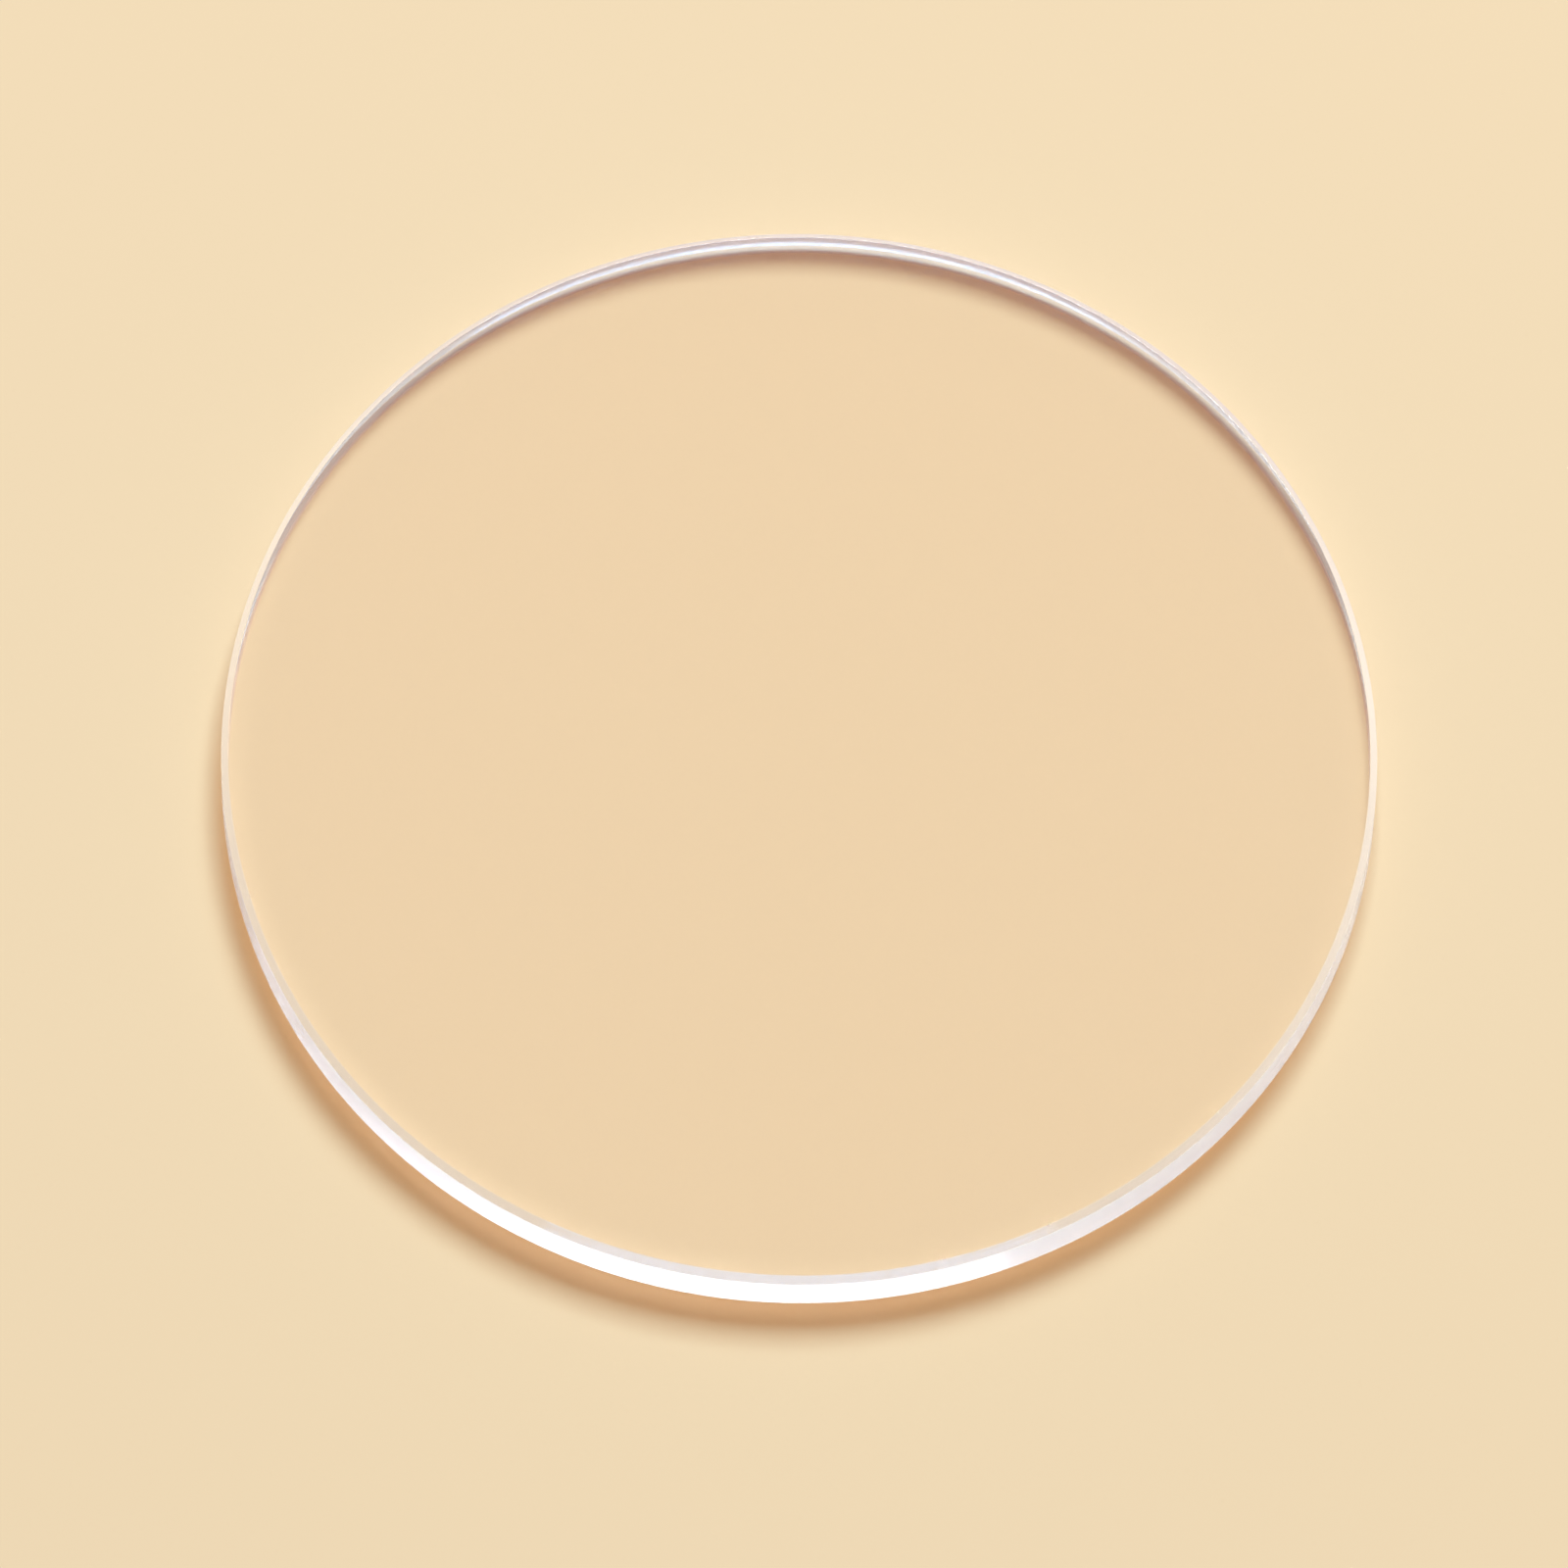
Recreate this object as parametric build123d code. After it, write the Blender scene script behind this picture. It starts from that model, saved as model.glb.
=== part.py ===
from build123d import *
import os

# A round flat watch crystal, the clear window over a watch's dial.
# It is one disc of mineral glass. Its two faces are polished flat and parallel,
# its wall is a plain cylinder, and a small bevel breaks both corners of the wall.
# The origin is the middle of the underside, which sits on the case's ledge,
# and +Z points out of the watch. All sizes are in millimetres.

# Driving sizes
crystal_diameter = 30.0
crystal_thickness = 1.5
top_bevel = 0.18
underside_bevel = 0.12

# Sizes worked out from them
wall_radius = crystal_diameter / 2
top_face_radius = wall_radius - top_bevel
underside_radius = wall_radius - underside_bevel
wall_bottom = underside_bevel
wall_top = crystal_thickness - top_bevel
wall_height = wall_top - wall_bottom


def half_section():
    """Half of the crystal's cross-section, from its axis out to its wall, on the XZ plane."""
    outline = Polyline(
        (0, 0),
        (underside_radius, 0),
        (wall_radius, wall_bottom),
        (wall_radius, wall_top),
        (top_face_radius, crystal_thickness),
        (0, crystal_thickness),
        close=True,
    )
    return Plane.XZ * make_face(outline)


def crystal_disc():
    """The glass disc: its half section turned once round the Z axis."""
    return revolve(half_section(), axis=Axis.Z)


def write_part(node, solid):
    """Writes one piece as a STEP file that has the piece's name."""
    solid.label = node
    export_step(solid, os.path.join("parts", node + ".step"))
    size = solid.bounding_box().size
    print(node, "size", size.X, size.Y, size.Z, "volume", solid.volume)


os.makedirs("parts", exist_ok=True)
write_part("crystal_disc", crystal_disc())
print("wall radius", wall_radius, "height", wall_height, "middle", (wall_bottom + wall_top) / 2)
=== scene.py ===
# %% [markdown]
# # A watch crystal in Blender
# A watch crystal is the clear window over a watch's dial. This one is a flat disc of mineral glass:
# two polished parallel faces, a plain cylindrical wall, and a small bevel at both corners of the wall.
# Glass has no colour of its own to paint. What the eye sees is the floor through the disc, and the
# studio's lights, bent and scattered by its edge. So this lesson spends its effort on three things:
# an exact section, three finishes (polished faces, fine bevels and a coarser wall), and lamps whose
# light the edge can carry.

# %% Load the frame
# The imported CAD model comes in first. It gives the diameter and the thickness, in metres.
import math

import bmesh
import bpy
from mathutils import Matrix, Vector


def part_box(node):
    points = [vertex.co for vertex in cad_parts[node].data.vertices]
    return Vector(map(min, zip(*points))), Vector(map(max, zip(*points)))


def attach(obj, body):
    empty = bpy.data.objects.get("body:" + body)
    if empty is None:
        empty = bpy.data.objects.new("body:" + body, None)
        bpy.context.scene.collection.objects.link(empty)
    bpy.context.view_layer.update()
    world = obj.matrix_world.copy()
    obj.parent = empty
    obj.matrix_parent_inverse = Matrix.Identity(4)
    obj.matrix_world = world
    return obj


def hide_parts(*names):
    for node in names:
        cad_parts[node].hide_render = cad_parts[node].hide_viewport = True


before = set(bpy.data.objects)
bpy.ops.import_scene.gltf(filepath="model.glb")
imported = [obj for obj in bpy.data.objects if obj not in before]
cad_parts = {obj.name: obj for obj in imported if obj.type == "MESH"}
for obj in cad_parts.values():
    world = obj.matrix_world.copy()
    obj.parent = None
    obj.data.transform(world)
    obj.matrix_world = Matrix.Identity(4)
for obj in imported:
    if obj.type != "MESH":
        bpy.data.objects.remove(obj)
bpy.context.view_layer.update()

# %% [markdown]
# ## Sizes
# The diameter and the thickness are read from the CAD node, so the glass can't drift from it. The two
# bevels don't show in a box, so they are named here, as the CAD source names them. An arris is the
# line where two surfaces meet. Ground glass is never perfectly sharp there, so the arris here is a
# hair-thin rounding.

# %% Sizes of the crystal
low_corner, high_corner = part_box("crystal_disc")
diameter = high_corner.x - low_corner.x
thickness = high_corner.z - low_corner.z
wall_radius = diameter / 2
top_bevel = 0.00018
underside_bevel = 0.00012
arris = 0.00002
top_face_radius = wall_radius - top_bevel
print("diameter", round(diameter * 1000, 3), "mm, thickness", round(thickness * 1000, 3), "mm")

# %% [markdown]
# ## Small helpers for node trees
# Both the shape and the glass are node trees written in code. Three helpers keep that readable: one
# makes a node and fills its inputs, one does arithmetic, and one makes a point of the section.

# %% Helpers for node trees
def add_node(tree, kind, settings=None, **inputs):
    """Adds a node. Settings are its own properties; inputs are values or sockets for its inputs."""
    node = tree.nodes.new(kind)
    for name, value in (settings or {}).items():
        setattr(node, name, value)
    for name, value in inputs.items():
        socket = node.inputs[name.replace("_", " ")]
        if isinstance(value, bpy.types.NodeSocket):
            tree.links.new(value, socket)
        else:
            socket.default_value = value
    return node


def calculate(tree, operation, first, second=0.0):
    """Adds a Math node for two numbers or sockets and returns its result socket."""
    node = tree.nodes.new("ShaderNodeMath")
    node.operation = operation
    for socket, value in zip(node.inputs, (first, second)):
        if isinstance(value, bpy.types.NodeSocket):
            tree.links.new(value, socket)
        else:
            socket.default_value = value
    return node.outputs[0]


def point(tree, across, height):
    """Makes one point of the section. Its height is turned over, as Curve to Mesh lays +Y downwards."""
    downwards = calculate(tree, "MULTIPLY", height, -1.0)
    return add_node(tree, "ShaderNodeCombineXYZ", X=across, Y=downwards).outputs[0]


print("helpers", add_node.__name__, calculate.__name__, point.__name__)

# %% [markdown]
# ## The shape: a section, turned like a pot
# A crystal is ground while it spins, so its shape is a half section turned once about its axis. In
# mesh code that could be a lathe loop with sines and cosines, or a cylinder with a Bevel modifier.
# Geometry Nodes say it more plainly: six points make the outline, Fillet Curve rounds its corners
# by the arris, and Curve to Mesh sweeps the outline round a circle. Every size is a named
# input, so the same tree makes any flat crystal.

# %% Start the tree and name its inputs
shape = bpy.data.node_groups.new("turned_crystal", "GeometryNodeTree")
shape.is_modifier = True
shape.interface.new_socket("Geometry", in_out="INPUT", socket_type="NodeSocketGeometry")
shape.interface.new_socket("Geometry", in_out="OUTPUT", socket_type="NodeSocketGeometry")
for size_name in ("Diameter", "Thickness", "Top Bevel", "Underside Bevel", "Arris"):
    shape.interface.new_socket(size_name, in_out="INPUT", socket_type="NodeSocketFloat")
for count_name in ("Segments", "Arris Facets"):
    shape.interface.new_socket(count_name, in_out="INPUT", socket_type="NodeSocketInt")
shape.interface.new_socket("Glass", in_out="INPUT", socket_type="NodeSocketMaterial")
given = shape.nodes.new("NodeGroupInput").outputs
print("inputs", [s.name for s in given if s.name])

# %% Work out the six corners of the half section
# Across is measured from the wall inwards, because the section is swept along the wall's circle.
radius = calculate(shape, "MULTIPLY", given["Diameter"], 0.5)
axis = calculate(shape, "MULTIPLY", radius, -1.0)
top_edge = calculate(shape, "MULTIPLY", given["Top Bevel"], -1.0)
underside_edge = calculate(shape, "MULTIPLY", given["Underside Bevel"], -1.0)
wall_top = calculate(shape, "SUBTRACT", given["Thickness"], given["Top Bevel"])
corners = [
    point(shape, axis, 0.0),
    point(shape, underside_edge, 0.0),
    point(shape, 0.0, given["Underside Bevel"]),
    point(shape, 0.0, wall_top),
    point(shape, top_edge, given["Thickness"]),
    point(shape, axis, given["Thickness"]),
]
print("corners of the section", len(corners))

# %% Join the corners into an outline and soften them
chooser = shape.nodes.new("GeometryNodeIndexSwitch")
chooser.data_type = "VECTOR"
while len(chooser.index_switch_items) < len(corners):
    chooser.index_switch_items.new()
shape.links.new(add_node(shape, "GeometryNodeInputIndex").outputs[0], chooser.inputs[0])
for corner, socket in zip(corners, chooser.inputs[1:]):
    shape.links.new(corner, socket)
dots = add_node(shape, "GeometryNodePoints", Count=len(corners), Position=chooser.outputs[0])
outline = add_node(shape, "GeometryNodePointsToCurves", Points=dots.outputs[0])
softened = add_node(
    shape,
    "GeometryNodeFilletCurve",
    {"mode": "POLY"},
    Curve=outline.outputs[0],
    Count=given["Arris Facets"],
    Radius=given["Arris"],
)
print("nodes so far", len(shape.nodes))

# %% Sweep the outline round the wall's circle
circle = add_node(shape, "GeometryNodeCurvePrimitiveCircle", Resolution=given["Segments"], Radius=radius)
upright = add_node(shape, "GeometryNodeSetCurveNormal", {"mode": "Z_UP"}, Curve=circle.outputs[0])
turned = add_node(
    shape,
    "GeometryNodeCurveToMesh",
    Curve=upright.outputs[0],
    Profile_Curve=softened.outputs[0],
)
print("the sweep gives", [socket.name for socket in turned.outputs])

# %% [markdown]
# The sweep leaves its faces pointing inwards, so they are turned over, and a heap of points on the
# axis, one for each segment, which are merged to close the two flat faces. Then the shading: light
# has to see a true cylinder, and truly flat faces too. All faces are smooth, and edges that turn by
# more than a few degrees are kept sharp. So the small steps round the wall blend, and the steps
# across the section don't.

# %% Close the middle, set the shading and the material
merge_distance = 0.0000001
widest_blend = math.radians(4.0)
outwards = add_node(shape, "GeometryNodeFlipFaces", Mesh=turned.outputs[0])
closed = add_node(
    shape,
    "GeometryNodeMergeByDistance",
    Geometry=outwards.outputs[0],
    Distance=merge_distance,
)
edge_angle = add_node(shape, "GeometryNodeInputMeshEdgeAngle").outputs["Unsigned Angle"]
sharp_edge = calculate(shape, "GREATER_THAN", edge_angle, widest_blend)
shaded = add_node(
    shape,
    "GeometryNodeSetShadeSmooth",
    {"domain": "EDGE"},
    Geometry=closed.outputs[0],
    Selection=sharp_edge,
    Shade_Smooth=False,
)
made_real = add_node(shape, "GeometryNodeRealizeInstances", Geometry=shaded.outputs[0])
dressed = add_node(
    shape,
    "GeometryNodeSetMaterial",
    Geometry=made_real.outputs[0],
    Material=given["Glass"],
)
result = shape.nodes.new("NodeGroupOutput")
shape.links.new(dressed.outputs[0], result.inputs[0])
print("the tree turned_crystal has", len(shape.nodes), "nodes")

# %% [markdown]
# ## The glass
# Mineral glass has a refractive index of about 1.52, and takes almost no light away over a
# millimetre and a half. The two faces are polished, so they are mirror smooth. The wall and the
# bevels are only finely ground: they scatter light, which makes the rim bright. Three materials could
# do this, one for each finish. One does it here, because the whole crystal is one piece of glass: it
# tells the rim from the faces by the distance from the axis, in Object coordinates.

# %% What the glass and its main lamp share
refraction = 1.52
key_azimuth = 77.0
key_height = 55.5
print("refraction", refraction, "and a key lamp", key_height, "degrees above the floor")

# %% Start the glass and measure the distance from the axis
glass = bpy.data.materials.new("mineral_glass")
glass.use_nodes = True
nodes = glass.node_tree
nodes.nodes.clear()


def ramp(value, start, end):
    """Goes from 0 to 1 while the value goes from start to end."""
    mapped = add_node(nodes, "ShaderNodeMapRange", Value=value, From_Min=start, From_Max=end)
    return mapped.outputs["Result"]


place = add_node(nodes, "ShaderNodeTexCoord").outputs["Object"]
parts = add_node(nodes, "ShaderNodeSeparateXYZ", Vector=place).outputs
flat_place = add_node(nodes, "ShaderNodeCombineXYZ", X=parts["X"], Y=parts["Y"]).outputs[0]
measured = add_node(nodes, "ShaderNodeVectorMath", {"operation": "LENGTH"}, Vector=flat_place)
from_axis = measured.outputs["Value"]
rim = ramp(from_axis, top_face_radius - arris, top_face_radius + arris)
# The wall's finish starts a hair inside the wall, so that most of each arris keeps the bevel's finish.
wall_finish_start = wall_radius - arris * 0.3
wall_finish_full = wall_radius - arris * 0.1
wall = ramp(from_axis, wall_finish_start, wall_finish_full)
bevel = calculate(nodes, "SUBTRACT", rim, wall)
print("the rim runs from", round(top_face_radius * 1000, 2), "to", round(wall_radius * 1000, 2), "mm")

# %% [markdown]
# A grinding wheel leaves fine lines that run round the rim. A noise that changes fast up the wall
# and across the bevels, and slowly along the rim, draws them. It has no seam, because it never asks
# for an angle. The distance from the axis counts half of the height: if both counted the same, they
# would cancel out on the top bevel, which falls as fast as it widens, and it would get no lines.
# The lines are too fine to model as shape, so they only tilt the surface's normal.

# %% Grinding lines
line_spacing = 0.000012
line_length = 0.003
across_share = 0.5
half_across = calculate(nodes, "MULTIPLY", from_axis, across_share)
across_lines = calculate(nodes, "ADD", parts["Z"], half_across)
line_place = add_node(
    nodes,
    "ShaderNodeCombineXYZ",
    X=calculate(nodes, "DIVIDE", parts["X"], line_length),
    Y=calculate(nodes, "DIVIDE", parts["Y"], line_length),
    Z=calculate(nodes, "DIVIDE", across_lines, line_spacing),
).outputs[0]
lines = add_node(nodes, "ShaderNodeTexNoise", Vector=line_place, Scale=1.0, Detail=2.0).outputs["Fac"]
print("grinding lines up the rim", round(thickness / line_spacing))

# %% The lines tilt the surface up and down
line_tilt = 0.08
tilt = calculate(nodes, "MULTIPLY", calculate(nodes, "SUBTRACT", lines, 0.5), line_tilt)
rim_tilt = calculate(nodes, "MULTIPLY", tilt, rim)
upwards = add_node(nodes, "ShaderNodeCombineXYZ", Z=rim_tilt).outputs[0]
true_normal = add_node(nodes, "ShaderNodeNewGeometry").outputs["Normal"]
tilted = add_node(nodes, "ShaderNodeVectorMath", {"operation": "ADD"})
nodes.links.new(true_normal, tilted.inputs[0])
nodes.links.new(upwards, tilted.inputs[1])
line_normal = add_node(nodes, "ShaderNodeVectorMath", {"operation": "NORMALIZE"}, Vector=tilted.outputs[0])
print("steepest tilt", round(math.degrees(math.atan(line_tilt / 2)), 1), "degrees")

# %% [markdown]
# The wall is ground coarser than the bevels, so it blurs what it carries more. The ground skin is
# also milky, from tiny chips in it: a part of the surface scatters light like ground powder does,
# and the rest still lets it in. The wall has more of this than the bevels, which so show more of
# the floor. Both have a faint blue tint, because the rim in the photograph is cooler than the
# floor. These numbers were tuned to match the photograph, and not measured.

# %% Three finishes in one surface
wall_roughness = 0.2
bevel_roughness = 0.1
wall_milkiness = 0.3
bevel_milkiness = 0.2
wall_tint = (0.92, 0.93, 0.98, 1.0)
bevel_tint = (0.88, 0.92, 1.0, 1.0)
face_tint = (1.0, 1.0, 1.0, 1.0)


def blend(amount, first, second):
    """Goes from the first colour to the second while the amount goes from 0 to 1."""
    return add_node(nodes, "ShaderNodeMixRGB", Fac=amount, Color1=first, Color2=second).outputs[0]


bevel_part = calculate(nodes, "MULTIPLY", bevel, bevel_roughness)
wall_part = calculate(nodes, "MULTIPLY", wall, wall_roughness)
milky_bevel = calculate(nodes, "MULTIPLY", bevel, bevel_milkiness)
milky_wall = calculate(nodes, "MULTIPLY", wall, wall_milkiness)
milky_part = calculate(nodes, "ADD", milky_bevel, milky_wall)
surface = add_node(
    nodes,
    "ShaderNodeBsdfPrincipled",
    Base_Color=blend(rim, face_tint, blend(wall, bevel_tint, wall_tint)),
    Roughness=calculate(nodes, "ADD", bevel_part, wall_part),
    IOR=refraction,
    Transmission_Weight=calculate(nodes, "SUBTRACT", 1.0, milky_part),
    Normal=line_normal.outputs[0],
)
print("roughness of the faces 0, of the bevels", bevel_roughness, "and of the wall", wall_roughness)

# %% Frost the wall
# A ground surface also glows on its far side when light falls on it, like a frosted window. Here
# that evens out the far wall, which the camera sees through the glass. The share is tuned too.
frosting = 0.06
glow = add_node(nodes, "ShaderNodeBsdfTranslucent", Color=wall_tint)
frosted = add_node(nodes, "ShaderNodeMixShader", Fac=calculate(nodes, "MULTIPLY", wall, frosting))
nodes.links.new(surface.outputs[0], frosted.inputs[1])
nodes.links.new(glow.outputs[0], frosted.inputs[2])
print("share of frosting on the wall", frosting)

# %% [markdown]
# ## Light through the glass
# A path tracer asks each point of the floor whether it sees a lamp, and plain glass answers no, so
# the floor under the crystal would go dark and noisy. The usual cure is a Mix Shader that turns the
# glass clear for those shadow rays alone. The polished faces let nearly all light through. The rim
# turns most of it aside, which makes the shadow round the edge.
#
# A clear shadow ray can't bend, and two things follow. Light runs steeper inside glass than in air,
# so the shadow that falls inwards is short: the high part of the wall casts none when the ray comes
# from inside. And the shadow that falls outwards is lighter at the wall's foot, where the bright
# wall lights the floor. This is a stand-in for bent light and not bent light: the colours that
# pass, and the height of the foot, were tuned until the shadow looked like the photograph's.

# %% Work out how high the inward shadow reaches
from_upright = math.radians(90.0 - key_height)
inside_glass = math.asin(math.sin(from_upright) / refraction)
shadow_height = thickness * math.tan(inside_glass) / math.tan(from_upright)
print("the inward shadow comes from the lowest", round(shadow_height * 1000, 2), "mm of the wall")

# %% Let the lamps through the faces, and little of them through the rim
face_passes = (0.955, 0.925, 0.91, 1.0)
foot_passes = (0.62, 0.35, 0.18, 1.0)
head_passes = (0.32, 0.13, 0.03, 1.0)
inward_passes = (0.19, 0.01, 0.0, 1.0)
shadow_softness = arris * 4
foot_height = thickness * 0.6
leaving = add_node(nodes, "ShaderNodeNewGeometry").outputs["Backfacing"]
too_high = ramp(parts["Z"], shadow_height - shadow_softness, shadow_height + shadow_softness)
let_out = calculate(nodes, "MULTIPLY", leaving, too_high)
held_back = calculate(nodes, "MULTIPLY", rim, calculate(nodes, "SUBTRACT", 1.0, let_out))
outward_passes = blend(ramp(parts["Z"], 0.0, foot_height), foot_passes, head_passes)
rim_passes = blend(leaving, outward_passes, inward_passes)
clear = add_node(nodes, "ShaderNodeBsdfTransparent", Color=blend(held_back, face_passes, rim_passes))
shadow_ray = add_node(nodes, "ShaderNodeLightPath").outputs["Is Shadow Ray"]
chosen = add_node(nodes, "ShaderNodeMixShader", Fac=shadow_ray)
nodes.links.new(frosted.outputs[0], chosen.inputs[1])
nodes.links.new(clear.outputs[0], chosen.inputs[2])
add_node(nodes, "ShaderNodeOutputMaterial", Surface=chosen.outputs[0])
print("the glass has", len(nodes.nodes), "nodes")

# %% [markdown]
# ## From tree to plain mesh
# The modifier's inputs are set by identifier, because a name isn't unique. The evaluated result is
# then taken as a plain mesh, so nothing is left to compute later.

# %% Build the crystal
def build_with(tree, name, values):
    """Runs a geometry tree with the given inputs and returns its result as a plain mesh object."""
    seed = bpy.data.objects.new(name + "_seed", bpy.data.meshes.new(name + "_seed"))
    bpy.context.scene.collection.objects.link(seed)
    modifier = seed.modifiers.new("make", "NODES")
    modifier.node_group = tree
    for item in tree.interface.items_tree:
        if item.in_out == "INPUT" and item.name in values:
            modifier[item.identifier] = values[item.name]
    bpy.context.view_layer.update()
    evaluated = seed.evaluated_get(bpy.context.evaluated_depsgraph_get())
    mesh = bpy.data.meshes.new_from_object(evaluated)
    mesh.name = name
    bpy.data.objects.remove(seed)
    piece = bpy.data.objects.new(name, mesh)
    bpy.context.scene.collection.objects.link(piece)
    return piece


segments = 720
arris_facets = 4
crystal = build_with(
    shape,
    "watch_crystal",
    {
        "Diameter": diameter,
        "Thickness": thickness,
        "Top Bevel": top_bevel,
        "Underside Bevel": underside_bevel,
        "Arris": arris,
        "Segments": segments,
        "Arris Facets": arris_facets,
        "Glass": glass,
    },
)
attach(crystal, "root")
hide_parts("crystal_disc")
solid = bmesh.new()
solid.from_mesh(crystal.data)
print("crystal faces", len(solid.faces), "volume", round(solid.calc_volume(signed=True) * 1e9, 1), "mm3")
print("open edges", sum(1 for edge in solid.edges if not edge.is_manifold))
solid.free()

# %% [markdown]
# ## The floor
# The floor is part of the look here: clear glass shows whatever it lies on. A pale warm floor lets
# the white rim stand out, which a white floor would swallow. Its colour is tuned so that the glass
# on it looks as in the photograph. It lies a hair under the crystal, so that the two surfaces don't
# fight over the same height.

# %% A plain pale floor
floor_reach = diameter * 100
floor_gap = 0.00001
floor_colour = (0.80, 0.68, 0.474, 1.0)
floor_roughness = 0.8
floor_gloss = 0.2
floor_mesh = bpy.data.meshes.new("floor")
floor_mesh.from_pydata(
    [
        (-floor_reach, -floor_reach, -floor_gap),
        (floor_reach, -floor_reach, -floor_gap),
        (floor_reach, floor_reach, -floor_gap),
        (-floor_reach, floor_reach, -floor_gap),
    ],
    [],
    [(0, 1, 2, 3)],
)
floor = bpy.data.objects.new("floor", floor_mesh)
bpy.context.scene.collection.objects.link(floor)
floor_finish = bpy.data.materials.new("pale_floor")
floor_finish.use_nodes = True
floor_surface = floor_finish.node_tree.nodes["Principled BSDF"].inputs
floor_surface["Base Color"].default_value = floor_colour
floor_surface["Roughness"].default_value = floor_roughness
floor_surface["Specular IOR Level"].default_value = floor_gloss
floor_mesh.materials.append(floor_finish)
print("floor", round(floor_reach * 2, 1), "m across")

# %% [markdown]
# ## The studio
# A lamp's place is given by its azimuth round the object, its height above the horizon and its
# distance, which is how a photographer moves a softbox round a table. The key stands behind the
# crystal, so both shadows fall towards the camera. It would also show as a glare in the polished
# face. Cycles finds a lamp in two ways, by aiming at it and by hitting it after a bounce. Switching
# the second way off for the key keeps its light and its shadows and drops the glare.

# %% The key lamp
def aim(obj, target):
    """Turns a lamp or camera so that it looks at the target."""
    obj.rotation_mode = "QUATERNION"
    obj.rotation_quaternion = (target - obj.location).to_track_quat("-Z", "Y")


def softbox(name, azimuth, height, width, depth, brightness, colour):
    """A rectangular lamp one metre away; azimuth 0 is to the right and 90 is behind, in degrees."""
    lamp = bpy.data.lights.new(name, "AREA")
    lamp.shape = "RECTANGLE"
    lamp.size = width
    lamp.size_y = depth
    # The power grows with the lamp's area, so its brightness doesn't change with its size.
    lamp.energy = brightness * math.pi * width * depth
    lamp.color = colour
    holder = bpy.data.objects.new(name, lamp)
    around, up = math.radians(azimuth), math.radians(height)
    holder.location = (math.cos(around) * math.cos(up), math.sin(around) * math.cos(up), math.sin(up))
    aim(holder, Vector((0.0, 0.0, thickness / 2)))
    bpy.context.scene.collection.objects.link(holder)
    return holder


key_side = 0.44
key_brightness = 16.7
key_colour = (1.0, 0.98, 0.97)
key = softbox("key", key_azimuth, key_height, key_side, key_side, key_brightness, key_colour)
key.data.cycles.use_multiple_importance_sampling = False
print("key lamp", round(key.data.energy, 2), "W")

# %% [markdown]
# ## Strip lights for the rim
# The ground rim glows most when light enters the far side of the disc from low down and runs through
# the glass to the near side. A real studio could put strip lights low round the table for that, and
# shade the table from them with flags, but not fully. Light linking does what no flag can: these
# lamps light the glass alone. Their own nodes also switch them off for light that has already left
# the floor, for otherwise the floor would see them through the glass. Their places, strengths and
# colours were tuned for the camera below, and from behind they overexpose the wall.
#
# The bright strips stand behind and light the near wall, from the middle to the left. The low blue
# ones there whiten the far bevel, and the warm ones on the left light the right of the wall. The
# blue ones in front give the near bevel its pale lavender and the far wall its cool grey.

# %% A strip light that lights the crystal and not the floor
strip_span = 25
flagged = bpy.data.collections.new("lit_by_the_strips")
flagged.objects.link(crystal)


def strip(azimuth, height, depth, brightness, colour):
    """A strip light as long as strip_span degrees of azimuth, so that neighbours just meet."""
    length = 2 * math.tan(math.radians(strip_span / 2)) * math.cos(math.radians(height))
    holder = softbox(f"strip_{azimuth}_{height}", azimuth, height, length, depth, brightness, colour)
    holder.light_linking.receiver_collection = flagged
    lamp = holder.data
    lamp.use_nodes = True
    left_floor = add_node(lamp.node_tree, "ShaderNodeLightPath").outputs["Diffuse Depth"]
    strength = lamp.node_tree.nodes["Emission"].inputs["Strength"]
    lamp.node_tree.links.new(calculate(lamp.node_tree, "LESS_THAN", left_floor, 0.5), strength)


print("a strip reaches over", strip_span, "degrees")

# %% The ring of strips
narrow = 0.14
wide = 0.30
white = (1.0, 0.97, 0.97)
warm = (1.0, 0.86, 0.70)
pale_blue = (0.65, 0.88, 1.0)
soft_blue = (0.5, 0.72, 1.0)
deep_blue = (0.2, 0.5, 1.0)
for azimuth in (45, 70, 95):
    strip(azimuth, 34, narrow, 20.0, white)
for azimuth in (50, 75, 100):
    strip(azimuth, 15, narrow, 22.0, pale_blue)
for azimuth in (117, 142):
    strip(azimuth, 32, wide, 4.5, warm)
for azimuth in (247, 272, 297):
    strip(azimuth, 25, narrow, 6.0, deep_blue)
    strip(azimuth, 10, narrow, 5.0, soft_blue)
print("lamps", len(bpy.data.lights))

# %% [markdown]
# A dim warm sky fills the shadows, as the walls of a room do.

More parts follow.
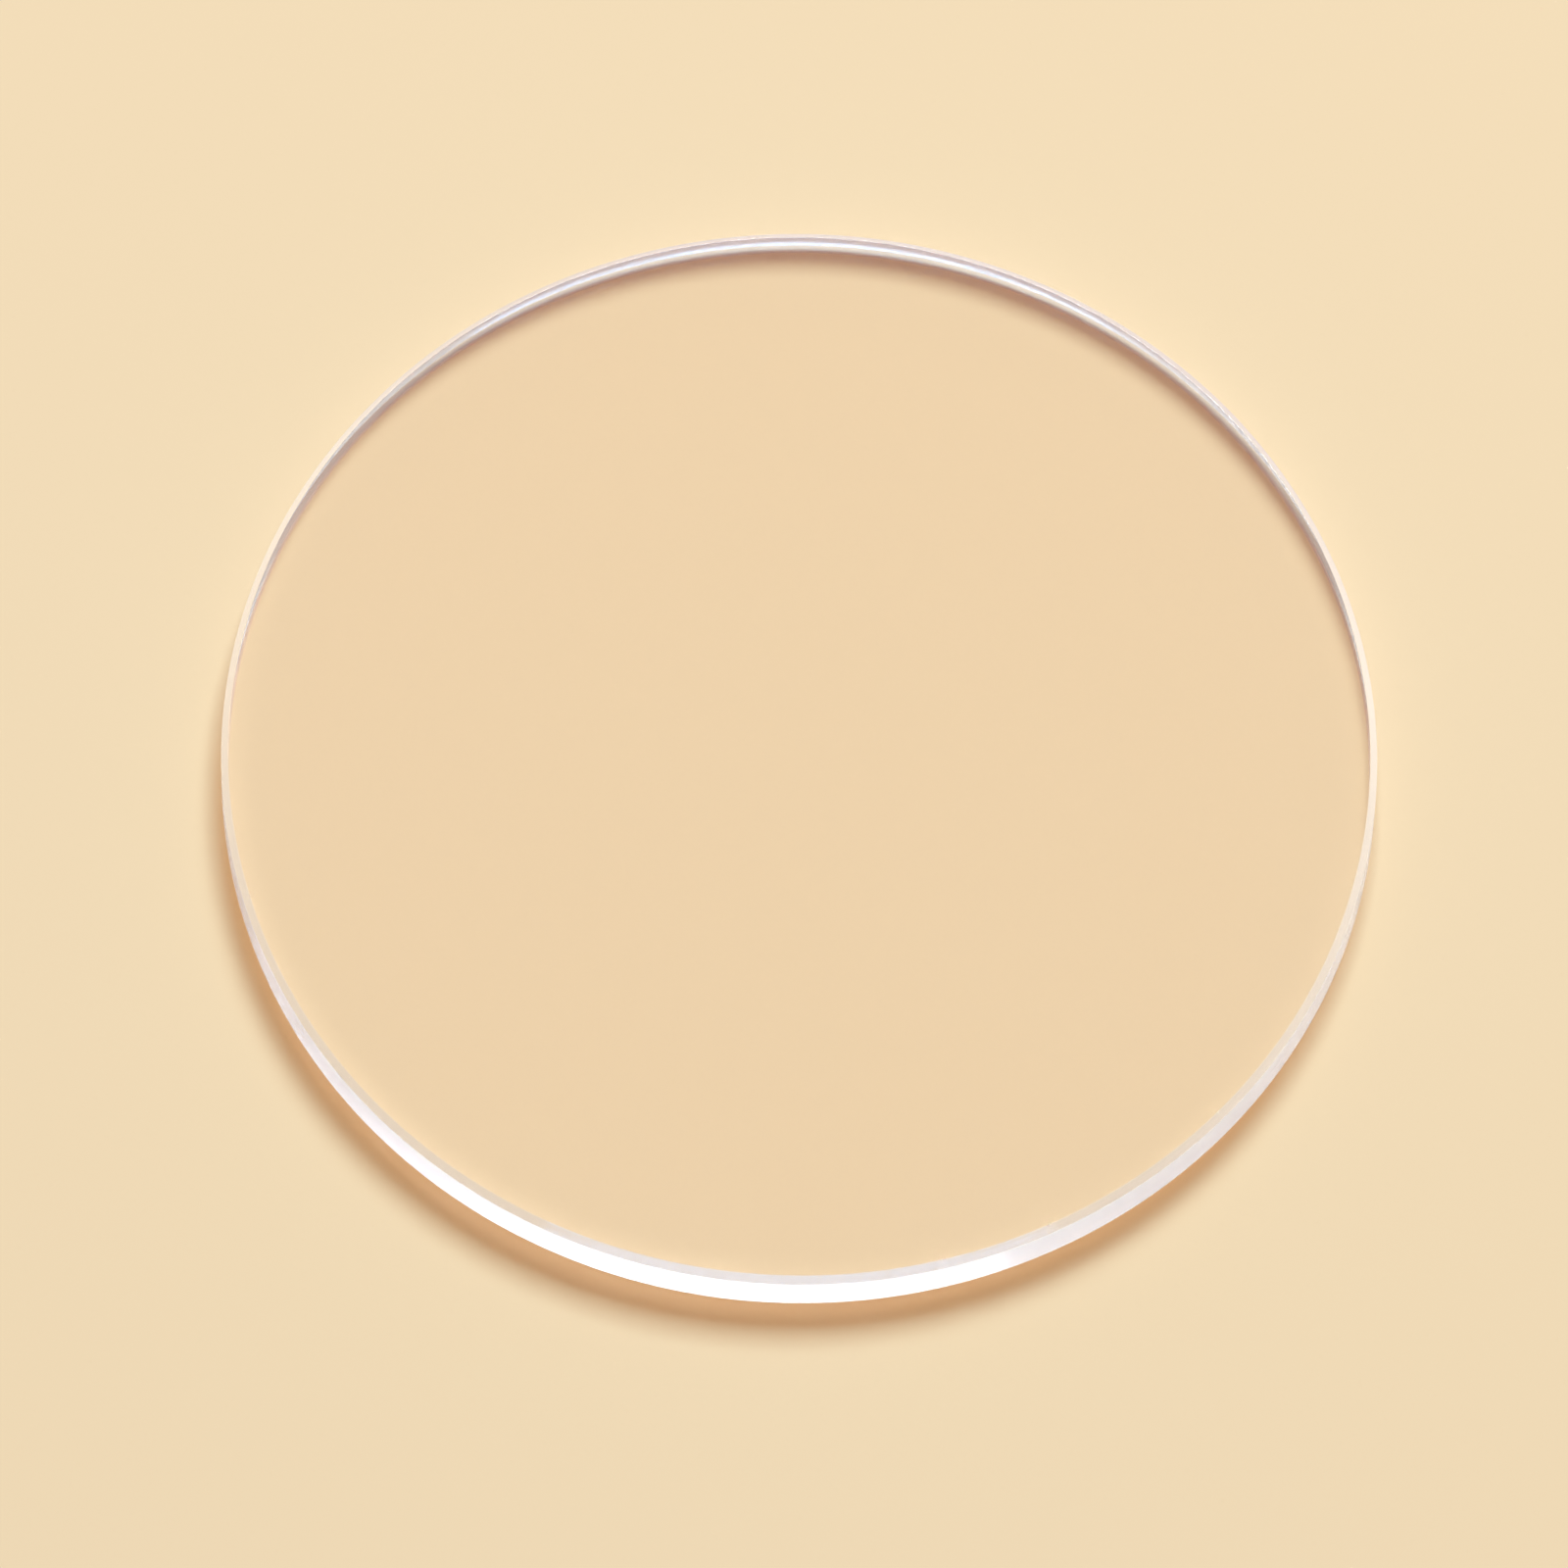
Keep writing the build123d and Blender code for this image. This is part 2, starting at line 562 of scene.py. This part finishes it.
# %% Soft light from everywhere
sky_colour = (1.0, 0.86, 0.72, 1.0)
sky_strength = 0.3
sky = bpy.data.worlds.new("studio")
sky.use_nodes = True
sky_light = sky.node_tree.nodes["Background"].inputs
sky_light["Color"].default_value = sky_colour
sky_light["Strength"].default_value = sky_strength
bpy.context.scene.world = sky
print("sky strength", sky_strength)

# %% [markdown]
# ## The camera
# The photograph looks down at about 65 degrees from far away: the disc's near and far halves are
# almost the same size. A long lens at 22 diameters gives that. The camera is also rolled by a
# degree and a half, and looks a little left of the disc's middle and in front of it. Its turn is
# built from three directions at right angles, which shows what each number does.

# %% Camera
picture_width = 1600.0
disc_in_picture = 1177.7
camera_height_angle = math.radians(65.385)
camera_roll = math.radians(1.537)
camera_distance = diameter * 22
sensor_width = 36.0
aim_point = Vector((-0.0125 * diameter, -0.0084 * diameter, 0.0))

backward = Vector((0.0, -math.cos(camera_height_angle), math.sin(camera_height_angle)))
level_right = Vector((1.0, 0.0, 0.0))
level_up = backward.cross(level_right)
right = level_right * math.cos(camera_roll) + level_up * math.sin(camera_roll)
upward = level_up * math.cos(camera_roll) - level_right * math.sin(camera_roll)

lens = bpy.data.cameras.new("camera")
lens.sensor_width = sensor_width
lens.lens = sensor_width * disc_in_picture / picture_width * camera_distance / diameter
lens.clip_start = 0.01
lens.clip_end = 10.0
camera = bpy.data.objects.new("camera", lens)
place_and_turn = Matrix((right, upward, backward)).transposed().to_4x4()
place_and_turn.translation = aim_point + backward * camera_distance
camera.matrix_world = place_and_turn
bpy.context.scene.collection.objects.link(camera)
bpy.context.scene.camera = camera
print("lens", round(lens.lens, 1), "mm at", round(camera_distance, 3), "m")

# %% [markdown]
# ## Film
# Light that enters the wall bounces between the faces many times before it leaves, so the renderer
# is allowed more bounces than usual. Cycles also blurs gloss by itself after a rough bounce, to cut
# noise. That would make the polished faces milky and let too much light under the disc, so it is
# off. The Standard view keeps the rim's clean white.

# %% Film and bounces
bounces = 32
bpy.context.scene.view_settings.view_transform = "Standard"
bpy.context.scene.cycles.max_bounces = bounces
bpy.context.scene.cycles.transmission_bounces = bounces
bpy.context.scene.cycles.glossy_bounces = bounces
bpy.context.scene.cycles.blur_glossy = 0.0
print("bounces", bounces)
